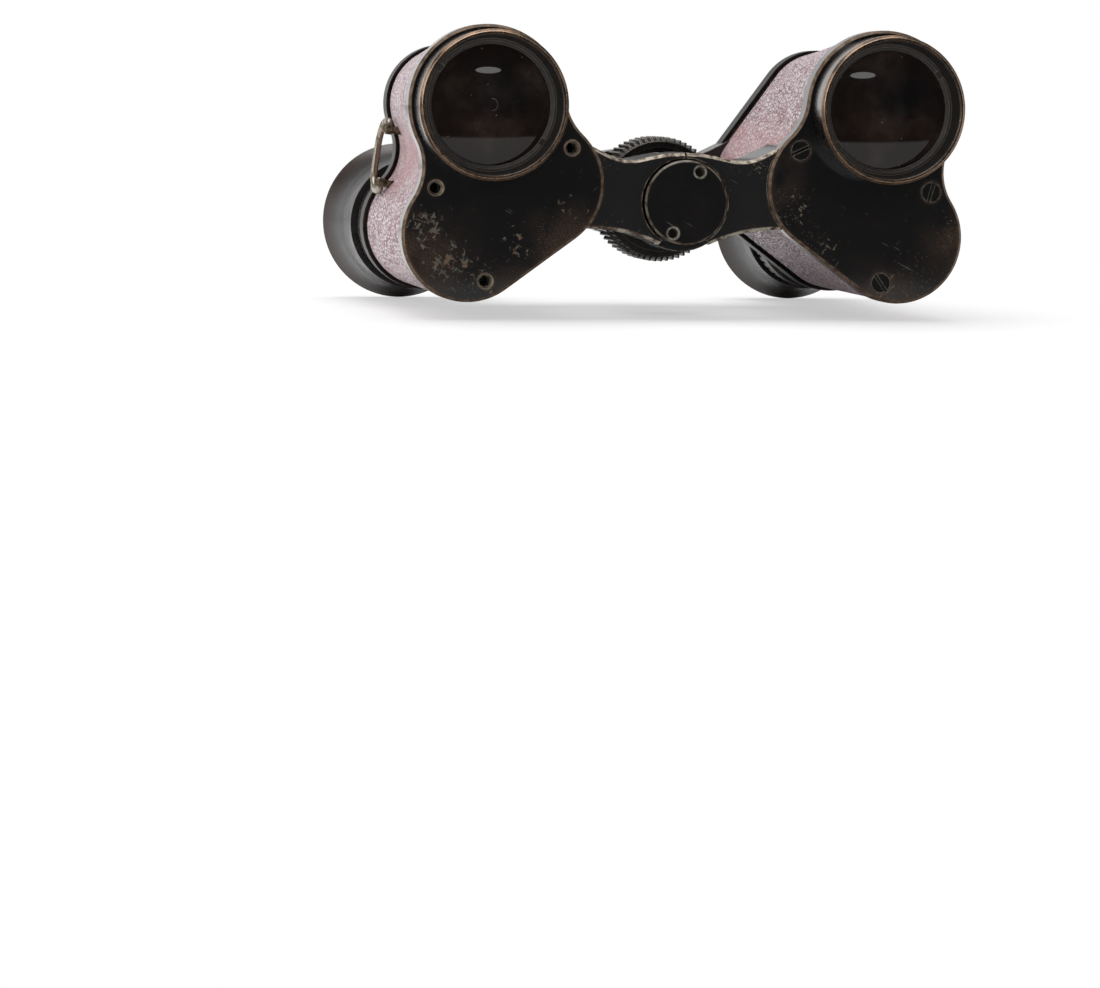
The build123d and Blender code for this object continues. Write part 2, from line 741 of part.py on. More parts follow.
    # ---- erecting prisms and the spring straps that hold them on the shelf
    prism_places = (
        ("front_prism", inner_axis, eyepiece_axis, shelf_front, -1),
        ("rear_prism", objective_axis, inner_axis, shelf_rear, 1),
    )
    straps = []
    for label, first, second, shelf_face, direction in prism_places:
        prism, base, height = prism_form(side, first, second, shelf_face, direction)
        prism.label = f"{name}_{label}"
        export_step(prism, f"parts/{name}_{label}.step")
        inside = prism_half_width + strap_play
        with BuildPart() as strap:
            with BuildSketch(Plane(origin=base.origin, x_dir=base.y_dir, z_dir=base.x_dir)):
                upward = (Align.CENTER, Align.MIN)
                top = height + strap_play
                Rectangle(2 * (inside + strap_thickness), top + strap_thickness, align=upward)
                Rectangle(2 * inside, top, align=upward, mode=Mode.SUBTRACT)
            extrude(amount=strap_width / 2, both=True)
        straps.append(strap.part)
    strap_pair = Compound(label=f"{name}_prism_straps", children=straps)
    export_step(strap_pair, f"parts/{name}_prism_straps.step")

    # ---- wire strap bail, its two ends bent in to the lugs
    seat = bail_seat(side)
    lean = radians(bail_lean)
    back = Vector(0, cos(lean), 0) + seat.x_dir * sin(lean)
    loop_plane = Plane(origin=seat.origin, x_dir=back, z_dir=back.cross(seat.z_dir))
    with BuildPart() as bail:
        with BuildLine(loop_plane) as wire:
            FilletPolyline(
                (0, bail_half_height - bail_pin),
                (0, bail_half_height),
                (bail_reach, bail_half_height),
                (bail_reach, -bail_half_height),
                (0, -bail_half_height),
                (0, bail_pin - bail_half_height),
                radius=(bail_bend_r, bail_corner_r, bail_corner_r, bail_bend_r),
            )
        with BuildSketch(Plane(origin=wire.line @ 0, z_dir=wire.line % 0)):
            Circle(bail_wire_r)
        sweep()
    bail.part.label = f"{name}_strap_bail"
    export_step(bail.part, f"parts/{name}_strap_bail.step")

    # ---- eyepiece: bridge arm, tube, lenses, field stop and eyecup
    layer_start = bridge_start if side < 0 else bridge_end - bridge_layer
    layer_end = layer_start + bridge_layer
    other_layer = (layer_end, bridge_end) if side < 0 else (bridge_start, layer_start)
    with BuildPart() as bridge_arm:
        with BuildSketch(at(bridge_start)):
            far_end = Vector(*on_side(eyepiece_axis, side))
            middle = far_end / 2
            turn = degrees(atan2(far_end.Y, far_end.X))
            with Locations(Location((middle.X, middle.Y, 0), (0, 0, turn))):
                Rectangle(far_end.length, 2 * bridge_link_half)
            Circle(bridge_hub_r)
            with Locations(far_end):
                Circle(bridge_ring_r)
        extrude(amount=-bridge_thickness)
        root_r = bridge_hub_r + hub_gap
        add(hub_disc(side, root_r, *other_layer), mode=Mode.SUBTRACT)
        nose_bore = rod_nose_r + (fixed_fit if side < 0 else running_gap)
        add(hub_disc(side, nose_bore, bridge_start, bridge_end), mode=Mode.SUBTRACT)
        seat = ring(eyepiece_axis, side, tube_outer_r + fixed_fit, 0, bridge_start, bridge_end)
        add(seat, mode=Mode.SUBTRACT)
    bridge_arm.part.label = f"{name}_bridge_arm"
    export_step(bridge_arm.part, f"parts/{name}_bridge_arm.step")

    if side < 0:
        ocular_r, cup_base = tube_outer_r, left_cup_base
        flange_start = cup_base - flange_thickness
        with BuildPart() as ocular:
            start = eyepiece_tube_front
            add(ring(eyepiece_axis, side, ocular_r, ocular_bore_r, start, eyepiece_tube_rear))
            add(ring(eyepiece_axis, side, flange_r, ocular_bore_r, flange_start, cup_base))
    else:
        # this eyepiece screws in its sleeve as the dioptre ring turns
        ocular_r, cup_base = sleeve_bore_r - sliding_fit, right_cup_base
        with BuildPart() as ocular:
            start = eyepiece_tube_front + dioptre_travel
            add(ring(eyepiece_axis, side, ocular_r, ocular_bore_r, start, eyepiece_tube_rear))
        sleeve_span = (eyepiece_tube_front, dioptre_ring_end - face_gap)
        sleeve = ring(eyepiece_axis, side, tube_outer_r, sleeve_bore_r, *sleeve_span)
        sleeve.label = "right_eyepiece_sleeve"
        export_step(sleeve, "parts/right_eyepiece_sleeve.step")
        with BuildPart() as dioptre_ring:
            bore = tube_outer_r + sliding_fit
            span = (dioptre_ring_start, dioptre_ring_end)
            add(ring(eyepiece_axis, side, dioptre_ring_r, bore, *span))
            corners = dioptre_ring.edges().filter_by(GeomType.CIRCLE).sort_by(SortBy.RADIUS)[-2:]
            chamfer(corners, dioptre_ring_bevel)
            with BuildSketch(at(dioptre_ring_end)):
                with Locations(on_side(eyepiece_axis, side)):
                    with PolarLocations(dioptre_ring_r, dioptre_flutes):
                        Circle(flute_r)
            extrude(amount=dioptre_grip_width, mode=Mode.SUBTRACT)
        dioptre_ring.part.label = "right_dioptre_ring"
        export_step(dioptre_ring.part, "parts/right_dioptre_ring.step")
    ocular.part.label = f"{name}_eyepiece_tube"
    export_step(ocular.part, f"parts/{name}_eyepiece_tube.step")

    glass_r = ocular_bore_r - lens_play
    rear = field_lens_front + field_lens_thickness
    glass = (field_lens_front, rear, nearly_flat, -field_lens_sag)
    field_lens = lens(eyepiece_axis, side, glass_r, *glass)
    field_lens.label = f"{name}_field_lens"
    export_step(field_lens, f"parts/{name}_field_lens.step")
    front = eye_lens_rear - eye_lens_thickness
    glass = (front, eye_lens_rear, eye_lens_sag, -nearly_flat)
    eye_lens = lens(eyepiece_axis, side, glass_r, *glass)
    eye_lens.label = f"{name}_eye_lens"
    export_step(eye_lens, f"parts/{name}_eye_lens.step")
    stop_end = stop_ring_start + stop_ring_thickness
    stop_r = ocular_bore_r - fixed_fit
    field_stop = ring(eyepiece_axis, side, stop_r, stop_ring_bore_r, stop_ring_start, stop_end)
    field_stop.label = f"{name}_field_stop"
    export_step(field_stop, f"parts/{name}_field_stop.step")

    with BuildPart() as eyecup:
        with BuildSketch(along(eyepiece_axis, side)):
            with BuildLine():
                web_start = eyepiece_tube_rear + axial_gap
                web_end = web_start + cup_web
                seat_r = ocular_r + fixed_fit
                waist = (eyepiece_tube_rear + cup_waist[0], cup_waist[1])
                flare = (eyepiece_tube_rear + cup_flare[0], cup_flare[1])
                rim_outer = (cup_rim_end - cup_rim_round, cup_rim_r)
                rim_inner = (cup_rim_end, cup_rim_r - cup_lip)
                Polyline(
                    rim_inner,
                    (web_end, cup_aperture_r + cup_dish),
                    (web_end, cup_aperture_r),
                    (web_start, ocular_bore_r),
                    (web_start, seat_r),
                    (cup_base, seat_r),
                    (cup_base, cup_base_r),
                    (cup_base + cup_base_thickness, cup_base_r),
                    (cup_base + cup_base_thickness, cup_neck_r),
                    waist,
                )
                ThreePointArc(waist, flare, rim_outer)
                Polyline(rim_outer, (cup_rim_end, cup_rim_r - cup_rim_round), rim_inner)
            make_face()
        revolve(axis=axis_of(eyepiece_axis, side))
    eyecup.part.label = f"{name}_eyecup"
    export_step(eyecup.part, f"parts/{name}_eyecup.step")

# ---- hinge tube with the key's two slots, its cap and the sleeves that hold the wheel in place
with BuildPart() as hinge_tube:
    add(ring(hinge_axis, 1, tube_r, tube_bore_r, front_knuckle, body_end + tube_end))
    slot_length = focus_in + focus_out + 2 * (key_r + key_end_gap)
    slot_middle = key_depth + (focus_out - focus_in) / 2
    slot_origin = (0, slot_middle - middle_depth, hinge_height)
    with BuildSketch(Plane(origin=slot_origin, x_dir=(0, 1, 0), z_dir=(1, 0, 0))):
        SlotOverall(slot_length, 2 * (key_r + key_side_gap))
    extrude(amount=tube_r, both=True, mode=Mode.SUBTRACT)
hinge_tube.part.label = "hinge_tube"
export_step(hinge_tube.part, "parts/hinge_tube.step")

with BuildPart() as hinge_cap:
    add(hub_disc(1, cap_r, -cap_projection, front_knuckle))
    add(hub_disc(1, tube_bore_r - fixed_fit, front_knuckle, front_knuckle + cap_spigot_length))
    face_edge = hinge_cap.edges().filter_by(GeomType.CIRCLE).sort_by(Axis.Y)[0]
    chamfer(face_edge, cap_bevel)
    first_hole = polar(spanner_hole_pitch_r, spanner_hole_angle)
    for radius, depth in ((spanner_ring_r, spanner_ring_depth), (spanner_hole_r, spanner_hole_depth)):
        with BuildSketch(at(-cap_projection)):
            with Locations(first_hole, -first_hole):
                Circle(radius)
        extrude(amount=-depth, mode=Mode.SUBTRACT)
hinge_cap.part.label = "hinge_cap"
export_step(hinge_cap.part, "parts/hinge_cap.step")

sleeve_bore = tube_r + fixed_fit
sleeve_span = (front_arm_end + face_gap, wheel_start - axial_gap)
front_sleeve = ring(hinge_axis, 1, sleeve_r, sleeve_bore, *sleeve_span)
front_sleeve.label = "front_thrust_sleeve"
export_step(front_sleeve, "parts/front_thrust_sleeve.step")
sleeve_span = (wheel_end + axial_gap, rear_arm_start)
rear_sleeve = ring(hinge_axis, 1, sleeve_r, sleeve_bore, *sleeve_span)
rear_sleeve.label = "rear_thrust_sleeve"
export_step(rear_sleeve, "parts/rear_thrust_sleeve.step")

# ---- focusing wheel: a milled drum whose inner groove drives the key, closed by a cover
with BuildPart() as focus_wheel:
    wheel_bore = tube_r + running_gap
    wheel_bevel = wheel_r - wheel_face_r
    cover_seat_r = wheel_cover_r + fixed_fit
    with BuildSketch(along(hinge_axis, 1)):
        with BuildLine():
            Polyline(
                (wheel_start, cover_seat_r),
                (wheel_start, wheel_face_r),
                (wheel_start + wheel_bevel, wheel_r),
                (wheel_end - wheel_bevel, wheel_r),
                (wheel_end, wheel_face_r),
                (wheel_end, wheel_bore),
                (wheel_end - wheel_wall, wheel_bore),
                (wheel_end - wheel_wall, wheel_groove_r),
                (wheel_start + wheel_wall, wheel_groove_r),
                (wheel_start + wheel_wall, cover_seat_r),
                close=True,
            )
        make_face()
    revolve(axis=axis_of(hinge_axis, 1))
    with BuildSketch(at(wheel_start)):
        with PolarLocations(wheel_r, wheel_teeth):
            Polygon(
                (-tooth_depth, -tooth_gap / 2),
                (tooth_depth, -tooth_pitch / 2),
                (tooth_depth, tooth_pitch / 2),
                (-tooth_depth, tooth_gap / 2),
                align=None,
            )
    extrude(amount=-wheel_width, mode=Mode.SUBTRACT)
focus_wheel.part.label = "focus_wheel"
export_step(focus_wheel.part, "parts/focus_wheel.step")

cover_span = (wheel_start + wheel_dish_depth, wheel_start + wheel_wall)
wheel_cover = ring(hinge_axis, 1, wheel_cover_r, wheel_bore, *cover_span)
wheel_cover.label = "focus_wheel_cover"
export_step(wheel_cover, "parts/focus_wheel_cover.step")

# ---- focusing rod, the key across it, and the nut behind the bridge
with BuildPart() as focus_rod:
    rod_r = tube_bore_r - rod_gap
    add(hub_disc(1, rod_r, key_depth - rod_lead, bridge_start))
    add(hub_disc(1, rod_nose_r, bridge_start, nut_end))
    key_origin = (0, key_depth - middle_depth, hinge_height)
    key_plane = Plane(origin=key_origin, x_dir=(0, 1, 0), z_dir=(1, 0, 0))
    with BuildSketch(key_plane):
        Circle(key_r + fixed_fit)
    extrude(amount=rod_r, both=True, mode=Mode.SUBTRACT)
focus_rod.part.label = "focus_rod"
export_step(focus_rod.part, "parts/focus_rod.step")

with BuildPart() as focus_key:
    with BuildSketch(key_plane):
        Circle(key_r)
    extrude(amount=key_reach, both=True)
focus_key.part.label = "focus_key"
export_step(focus_key.part, "parts/focus_key.step")

with BuildPart() as bridge_nut:
    add(ring(hinge_axis, 1, nut_r, rod_nose_r + fixed_fit, nut_start, nut_end))
    nut_edge = bridge_nut.edges().group_by(Axis.Y)[-1].sort_by(SortBy.RADIUS)[-1]
    fillet(nut_edge, nut_round)
    with BuildSketch(at(nut_end)):
        Rectangle(2 * nut_r, nut_slot)
    extrude(amount=nut_thickness / 3, mode=Mode.SUBTRACT)
bridge_nut.part.label = "bridge_nut"
export_step(bridge_nut.part, "parts/bridge_nut.step")
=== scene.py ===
"""Looks of the prism binoculars: worn black enamel over brass, pebbled leather, ebonite and glass."""

from math import cos, radians, sin

import bpy
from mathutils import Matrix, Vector


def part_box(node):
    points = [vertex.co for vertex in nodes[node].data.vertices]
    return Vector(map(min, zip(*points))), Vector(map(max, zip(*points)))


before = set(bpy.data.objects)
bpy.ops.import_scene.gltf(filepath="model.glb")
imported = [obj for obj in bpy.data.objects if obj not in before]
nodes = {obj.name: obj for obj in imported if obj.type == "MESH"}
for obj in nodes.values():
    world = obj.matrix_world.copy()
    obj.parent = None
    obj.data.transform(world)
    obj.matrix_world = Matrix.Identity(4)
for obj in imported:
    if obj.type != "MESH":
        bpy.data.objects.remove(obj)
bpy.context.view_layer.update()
MM = 0.001
SIDES = ("left", "right")
WHITE = (1.0, 1.0, 1.0)

# ---- places read from the frame
plate_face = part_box("right_front_cover")[0].y
hinge_height = (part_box("hinge_cap")[0].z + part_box("hinge_cap")[1].z) / 2


def spot_on(node, across, up):
    """A point on the front of a node, at shares of its width and height."""
    low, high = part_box(node)
    return Vector((low.x + across * (high.x - low.x), low.y, low.z + up * (high.z - low.z)))


def by_hinge(across, up):
    """A point level with the plates' front, in mm to the side of the hinge and above it."""
    return Vector((across * MM, plate_face, hinge_height + up * MM))


# ---- a short language for node trees
class Nodes:
    """A node tree; its methods add nodes and return the sockets that carry their results."""

    def __init__(self, tree, space):
        self.tree = tree
        self.place = self.add("ShaderNodeTexCoord").outputs[space]

    def add(self, kind, **settings):
        node = self.tree.nodes.new(kind)
        for key, value in settings.items():
            setattr(node, key, value)
        return node

    def put(self, socket, value):
        """Links a socket to a result, or sets it to a number, a vector or a colour."""
        if isinstance(value, bpy.types.NodeSocket):
            self.tree.links.new(value, socket)
        elif isinstance(value, tuple) and len(value) == 3 and len(socket.default_value) == 4:
            socket.default_value = (*value, 1)
        else:
            socket.default_value = value

    def fill(self, node, *values):
        """Puts values on the first inputs of a node, and returns its outputs."""
        for socket, value in zip(node.inputs, values):
            self.put(socket, value)
        return node.outputs

    def fill_named(self, node, **values):
        """Puts values on inputs by their names, with _ for a space, and returns the first output."""
        for key, value in values.items():
            self.put(node.inputs[key.replace("_", " ")], value)
        return node.outputs[0]

    # numbers
    def math(self, operation, *values):
        return self.fill(self.add("ShaderNodeMath", operation=operation), *values)[0]

    def times(self, a, b):
        return self.math("MULTIPLY", a, b)

    def plus(self, a, b):
        return self.math("ADD", a, b)

    def minus(self, a, b):
        return self.math("SUBTRACT", a, b)

    def highest(self, *values):
        result = values[0]
        for value in values[1:]:
            result = self.math("MAXIMUM", result, value)
        return result

    def ramp(self, value, low, high, out_low=0.0, out_high=1.0):
        """Goes smoothly from out_low to out_high as value goes from low to high."""
        node = self.add("ShaderNodeMapRange", interpolation_type="SMOOTHSTEP")
        return self.fill(node, value, low, high, out_low, out_high)[0]

    def blend(self, share, a, b):
        """Two numbers mixed."""
        node = self.add("ShaderNodeMix", data_type="FLOAT")
        for index, value in ((0, share), (2, a), (3, b)):
            self.put(node.inputs[index], value)
        return node.outputs[0]

    # vectors and colours
    def vectors(self, operation, *values):
        return self.fill(self.add("ShaderNodeVectorMath", operation=operation), *values)

    def axis(self, letter, vector=None):
        return self.fill(self.add("ShaderNodeSeparateXYZ"), vector or self.place)[letter]

    def mix(self, share, a, b):
        """Two colours mixed."""
        node = self.add("ShaderNodeMix", data_type="RGBA")
        for index, value in ((0, share), (6, a), (7, b)):
            self.put(node.inputs[index], value)
        return node.outputs[2]

    # patterns
    def turn(self, angles, stretch):
        """The place, turned by angles in degrees and then stretched, so that marks grow longer
        along an axis whose stretch is small."""
        node = self.add("ShaderNodeMapping", vector_type="TEXTURE")
        rotation = [radians(angle) for angle in angles]
        scale = [1 / share for share in stretch]
        return self.fill_named(node, Vector=self.place, Rotation=rotation, Scale=scale)

    def noise(self, size, detail=3.0, rough=0.55, distortion=0.0, place=None):
        """Fractal noise whose features are about size metres across."""
        node = self.add("ShaderNodeTexNoise")
        self.fill_named(node, Vector=place or self.place, Scale=1 / size, Detail=detail)
        self.fill_named(node, Roughness=rough, Distortion=distortion)
        return node.outputs["Fac"]

    def cells(self, size, feature="F1", place=None):
        """Distance inside cells about size metres across."""
        node = self.add("ShaderNodeTexVoronoi", feature=feature)
        self.fill_named(node, Vector=place or self.place, Scale=1 / size)
        return node.outputs["Distance"]


class Shader(Nodes):
    """One material, with what depends on a surface's place and shape."""

    def __init__(self, name):
        self.material = bpy.data.materials.new(name)
        self.material.use_nodes = True
        self.material.node_tree.nodes.clear()
        super().__init__(self.material.node_tree, "Object")
        self.bsdf = self.add("ShaderNodeBsdfPrincipled")
        self.output = self.add("ShaderNodeOutputMaterial")
        self.surface(self.bsdf.outputs[0])

    def set(self, **values):
        self.fill_named(self.bsdf, **values)

    def surface(self, shader):
        self.put(self.output.inputs["Surface"], shader)

    def overlay(self, share, under, over):
        """A share of one shader over another."""
        return self.fill(self.add("ShaderNodeMixShader"), share, under, over)[0]

    def facing(self, letter):
        """How far the surface itself faces along an axis, from 0 to 1."""
        normal = self.add("ShaderNodeTexCoord").outputs["Normal"]
        return self.math("ABSOLUTE", self.axis(letter, normal))

    def slant(self):
        """1 on chamfers and rounds: where the surface faces neither along Y nor across it."""
        facing = self.facing("Y")
        return self.times(self.ramp(facing, 0.12, 0.30), self.ramp(facing, 0.90, 0.97, 1.0, 0.0))

    def near(self, point, reach, core):
        """1 within the core, a share of reach, around a point, fading to 0 at reach."""
        distance = self.vectors("DISTANCE", self.place, point)["Value"]
        return self.ramp(distance, core * reach, reach, 1.0, 0.0)

    def near_height(self, height, reach):
        """1 at a height, fading to 0 at reach above or below it."""
        away = self.math("ABSOLUTE", self.minus(self.axis("Z"), height))
        return self.ramp(away, 0.0, reach, 1.0, 0.0)

    def radius(self, centre):
        """Distance from the line through centre that runs along Y."""
        shift = self.vectors("SUBTRACT", self.place, centre)[0]
        flat = self.vectors("MULTIPLY", shift, (1, 0, 1))[0]
        return self.vectors("LENGTH", flat)["Value"]

    def corners(self, radius, low=0.80, high=0.985):
        """1 where the surface turns a corner within a radius."""
        bevel = self.add("ShaderNodeBevel", samples=6)
        rounded = self.fill_named(bevel, Radius=radius)
        normal = self.add("ShaderNodeNewGeometry").outputs["Normal"]
        likeness = self.vectors("DOT_PRODUCT", rounded, normal)["Value"]
        return self.ramp(likeness, low, high, 1.0, 0.0)

    def bump(self, height, distance, strength=1.0, under=None):
        node = self.add("ShaderNodeBump")
        if under:
            self.fill_named(node, Normal=under)
        return self.fill_named(node, Height=height, Distance=distance, Strength=strength)


def wear(material, *names):
    """Gives CAD nodes a material."""
    for name in names:
        mesh = nodes[name].data
        mesh.materials.clear()
        mesh.materials.append(material)


def both_sides(*names):
    """The left and the right node of each name."""
    return [f"{side}_{name}" for name in names for side in SIDES]


# ---- black enamel over brass
BLACK = (0.0024, 0.0028, 0.0034)
BROWN_BLACK = (0.0060, 0.0050, 0.0044)
GREY_BLACK = (0.017, 0.018, 0.018)
TAN = (0.185, 0.125, 0.082)
UMBER = (0.085, 0.053, 0.036)
RUST = (0.070, 0.036, 0.021)
CREAM = (0.46, 0.41, 0.33)
GREY_SCUFF = (0.115, 0.120, 0.105)
GREY_SCRATCH = (0.16, 0.15, 0.14)
RIM_METAL = (0.15, 0.14, 0.11), (0.42, 0.40, 0.33)
LUG_METAL = (0.050, 0.040, 0.026), (0.20, 0.17, 0.115)
CAP_EDGE = (0.36, 0.30, 0.22)


def field(s, spots):
    """1 at the middle of any of the spots, each a (point, reach, share), and 0 away from them."""
    if not spots:
        return 0.0
    return s.highest(*(s.times(s.near(point, reach, 0.1), share) for point, reach, share in spots))


def specks(s, spots):
    """Fine ragged specks: a few everywhere and many at the spots."""
    dots = s.ramp(s.plus(s.cells(0.34 * MM), s.noise(0.2 * MM, detail=2)), 0.60, 0.72, 1.0, 0.0)
    gate = s.plus(s.noise(0.9 * MM, detail=4, rough=0.7), s.times(field(s, spots), 0.20))
    return s.times(dots, s.ramp(gate, 0.64, 0.70))


def chippings(s, spots, angles):
    """Ragged chips a millimetre or two long that lie in a few directions, most at the spots."""
    here = s.times(field(s, spots), 0.17)
    marks = []
    for angle in angles:
        place = s.turn((0, angle, 0), (1, 1, 0.45))
        streak = s.noise(0.75 * MM, detail=4, rough=0.62, distortion=0.3, place=place)
        marks.append(s.ramp(s.plus(streak, here), 0.755, 0.80))
    return s.highest(*marks)


def scratches(s, angles):
    """Hair-thin straight scratches, a few of them."""
    marks = []
    for index, angle in enumerate(angles):
        streak = s.noise(1.6 * MM, detail=1, rough=0.3, place=s.turn((0, angle, 0), (0.4, 2, 7)))
        patches = s.noise(5 * MM, detail=2, place=s.turn((index * 40, angle, 30), (1, 1, 1)))
        marks.append(s.times(s.ramp(streak, 0.74, 0.76), s.ramp(patches, 0.60, 0.66)))
    return s.highest(*marks)


def enamel(
    name,
    speckled=(),
    chipped=(),
    hazed=(),
    cover=0.30,
    edge=0.26,
    edge_colour=TAN,
    rims=(),
    fittings=(),
    bevel=0.9,
    coat=1.0,
    coat_roughness=0.08,
    greyness=0.1,
):
    """Stoved black enamel, rubbed through at its corners.

    speckled, chipped and hazed are (point, reach, share) spots; cover is how little of the
    corners is worn; edge is the worn corners' reach in mm, and bevel how far chamfers wear with
    them; rims are (point, inner, outer) rings worn bright; fittings are (point, reach) of bare
    brass; coat is how much of the shine is left, and greyness how far the black has dulled."""
    s = Shader(name)
    clouds = s.noise(6 * MM, detail=4, rough=0.6)
    ragged = s.noise(0.7 * MM, detail=4, rough=0.7)
    dots = specks(s, speckled)
    chips = chippings(s, chipped, (38, -52))
    lines = scratches(s, (28, -47))
    corner = s.highest(s.corners(edge * MM, 0.86, 0.998), s.times(s.slant(), bevel))
    rubbed = s.times(corner, s.ramp(ragged, cover, cover + 0.14))
    # thin brown enamel, in a band just inside the corners and in hazes
    band = s.times(s.corners(1.1 * MM, 0.80, 0.9999), s.ramp(clouds, 0.36, 0.62))
    grain = s.noise(0.22 * MM, detail=3, rough=0.7)
    soiled = field(s, hazed)
    haze = s.times(soiled, s.ramp(clouds, 0.30, 0.60, 0.0, 0.7))
    wide = s.times(s.corners(2.0 * MM, 0.90, 0.99995), s.times(soiled, 1.5))
    thin = s.times(s.highest(band, haze, wide), s.ramp(grain, 0.36, 0.60))
    film = s.mix(s.ramp(clouds, 0.42, 0.72), BLACK, BROWN_BLACK)
    film = s.mix(greyness, film, GREY_BLACK)
    film = s.mix(thin, film, s.mix(ragged, RUST, UMBER))
    # bare brass, browned in patches
    browned = s.ramp(s.noise(1.2 * MM, detail=4), 0.38, 0.62)
    brass = s.mix(browned, UMBER, edge_colour)
    flaked = s.mix(browned, GREY_SCUFF, TAN)
    marks = s.times(s.highest(dots, chips), 0.85)
    bare = s.highest(marks, rubbed)
    colour = s.mix(marks, film, flaked)
    colour = s.mix(rubbed, colour, brass)
    colour = s.mix(s.times(lines, 0.5), colour, GREY_SCRATCH)
    metal = s.times(bare, 0.35)
    for point, inner, outer in rims:
        distance = s.radius(point)
        inside = s.ramp(distance, inner - 0.05 * MM, inner + 0.02 * MM)
        ring = s.times(inside, s.ramp(distance, outer - 0.03 * MM, outer + 0.06 * MM, 1.0, 0.0))
        ring = s.times(ring, s.ramp(ragged, 0.36, 0.60, 0.25, 1.0))
        colour = s.mix(ring, colour, s.mix(clouds, *RIM_METAL))
        bare = s.highest(bare, ring)
    for point, reach in fittings:
        here = s.near(point, reach, 0.85)
        colour = s.mix(here, colour, s.mix(s.ramp(ragged, 0.4, 0.6), *LUG_METAL))
        metal = s.highest(metal, s.times(here, 0.8))
        bare = s.highest(bare, here)
    worn = s.highest(bare, s.times(lines, 0.5))
    s.set(Base_Color=colour, Metallic=metal, IOR=1.45)
    s.set(Specular_IOR_Level=0.2, Roughness=s.blend(worn, 0.40, 0.44))
    whole = s.minus(1.0, s.highest(worn, s.times(thin, 0.4)))
    dusty = s.ramp(s.facing("Z"), 0.75, 0.95, 1.0, 0.35)
    s.set(Coat_Weight=s.times(s.times(whole, dusty), coat))
    s.set(Coat_Roughness=coat_roughness, Coat_IOR=1.50)
    ripple = s.bump(s.noise(2.0 * MM, detail=2), 0.006 * MM, 0.5)
    s.set(Normal=s.bump(s.times(worn, -1.0), 0.02 * MM, 0.6, ripple), Coat_Normal=ripple)
    return s.material


def on_plate(node, *spots):
    """Spots on the front of a node: (share of its width, share of its height, reach in mm, share)."""
    return tuple((spot_on(node, across, up), reach * MM, share) for across, up, reach, share in spots)


def on_arms(*spots):
    """Spots on the hinge arms' front: (mm to the side of the hinge, mm above it, reach in mm, share)."""
    return tuple((by_hinge(across, up), reach * MM, share) for across, up, reach, share in spots)


SCREW_PLACES = ((19.6, 8.9), (42.5, 2.1), (34.0, -13.3))
HOLE_RINGS = ((0.84, 0.98), (1.22, 1.32))
empty_holes = tuple(
    (by_hinge(-across, up), inner * MM, outer * MM)
    for across, up in SCREW_PLACES
    for inner, outer in HOLE_RINGS
)
wear(
    enamel(
        "enamel_left_plate",
        on_plate("left_front_cover", (0.14, 0.30, 7, 0.6), (0.30, 0.10, 9, 0.9), (0.70, 0.24, 8, 0.7)),
        on_plate(
            "left_front_cover",
            (0.12, 0.27, 7, 1.15),
            (0.24, 0.15, 8, 1.2),
            (0.40, 0.07, 6, 1.1),
            (0.58, 0.22, 7, 0.9),
            (0.85, 0.34, 6, 0.9),
        ),
        on_plate("left_front_cover", (0.04, 0.14, 13, 1.0), (0.60, 0.03, 8, 0.7), (0.82, 0.20, 10, 1.0)),
        cover=0.20,
        rims=empty_holes,
    ),
    "left_front_cover",
)
wear(
    enamel(
        "enamel_right_plate",
        on_plate(
            "right_front_cover",
            (0.11, 0.36, 7, 1.25),
            (0.22, 0.24, 6, 1.0),
            (0.78, 0.10, 9, 0.9),
            (0.95, 0.30, 5, 0.9),
        ),
        on_plate(
            "right_front_cover",
            (0.13, 0.34, 6, 1.0),
            (0.30, 0.20, 6, 0.9),
            (0.64, 0.04, 7, 1.0),
            (0.94, 0.26, 5, 0.9),
        ),
        on_plate("right_front_cover", (0.62, 0.0, 9, 0.9), (1.0, 0.22, 9, 0.9), (0.02, 0.46, 8, 0.5)),
        cover=0.22,
    ),
    "right_front_cover",
)
wear(
    enamel("enamel_rear_plates", cover=0.34, coat=0.12, coat_roughness=0.3),
    *both_sides("rear_cover"),
)

# the strap lugs of a side: (mm from the middle plane, mm above the bail's middle)
LUG_PLACES = ((46.27, -4.6), (44.93, 4.6))
LUG_REACH = 2.8 * MM
bail_low, bail_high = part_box("right_strap_bail")
bail_height = (bail_low.z + bail_high.z) / 2
lugs = tuple(
    (Vector((side * across * MM, bail_low.y, bail_height + up * MM)), LUG_REACH)
    for side in (-1, 1)
    for across, up in LUG_PLACES
)
wear(
    enamel(
        "enamel_castings",
        on_arms((13, 6.5, 5, 1.3), (-15, 7, 6, 1.2), (12, -5, 4, 0.9), (-12, -5, 5, 1.1), (8, 6, 4, 1.0)),
        on_arms((12.5, 6, 4, 1.0), (-16, 5, 5, 0.9), (-13, -6, 4, 1.0)),
        cover=0.10,
        edge=0.30,
        edge_colour=CREAM,
        fittings=lugs,
        greyness=0.55,
    ),
    *both_sides("housing"),
)

# the cap's two spanner holes: mm from the hinge, and the angle of the line through them
CAP_HOLE_OUT = 5.6
CAP_HOLE_ANGLE = radians(66.5)
CAP_HOLE_RING = (0.85 * MM, 1.15 * MM)
cap_holes = tuple(
    (by_hinge(out * cos(CAP_HOLE_ANGLE), out * sin(CAP_HOLE_ANGLE)), *CAP_HOLE_RING)
    for out in (-CAP_HOLE_OUT, CAP_HOLE_OUT)
)
wear(
    enamel("enamel_cap", cover=0.15, edge=0.12, edge_colour=CAP_EDGE, rims=cap_holes, bevel=0.35),
    "hinge_cap",
)
wear(enamel("enamel_bridge"), *both_sides("bridge_arm"))


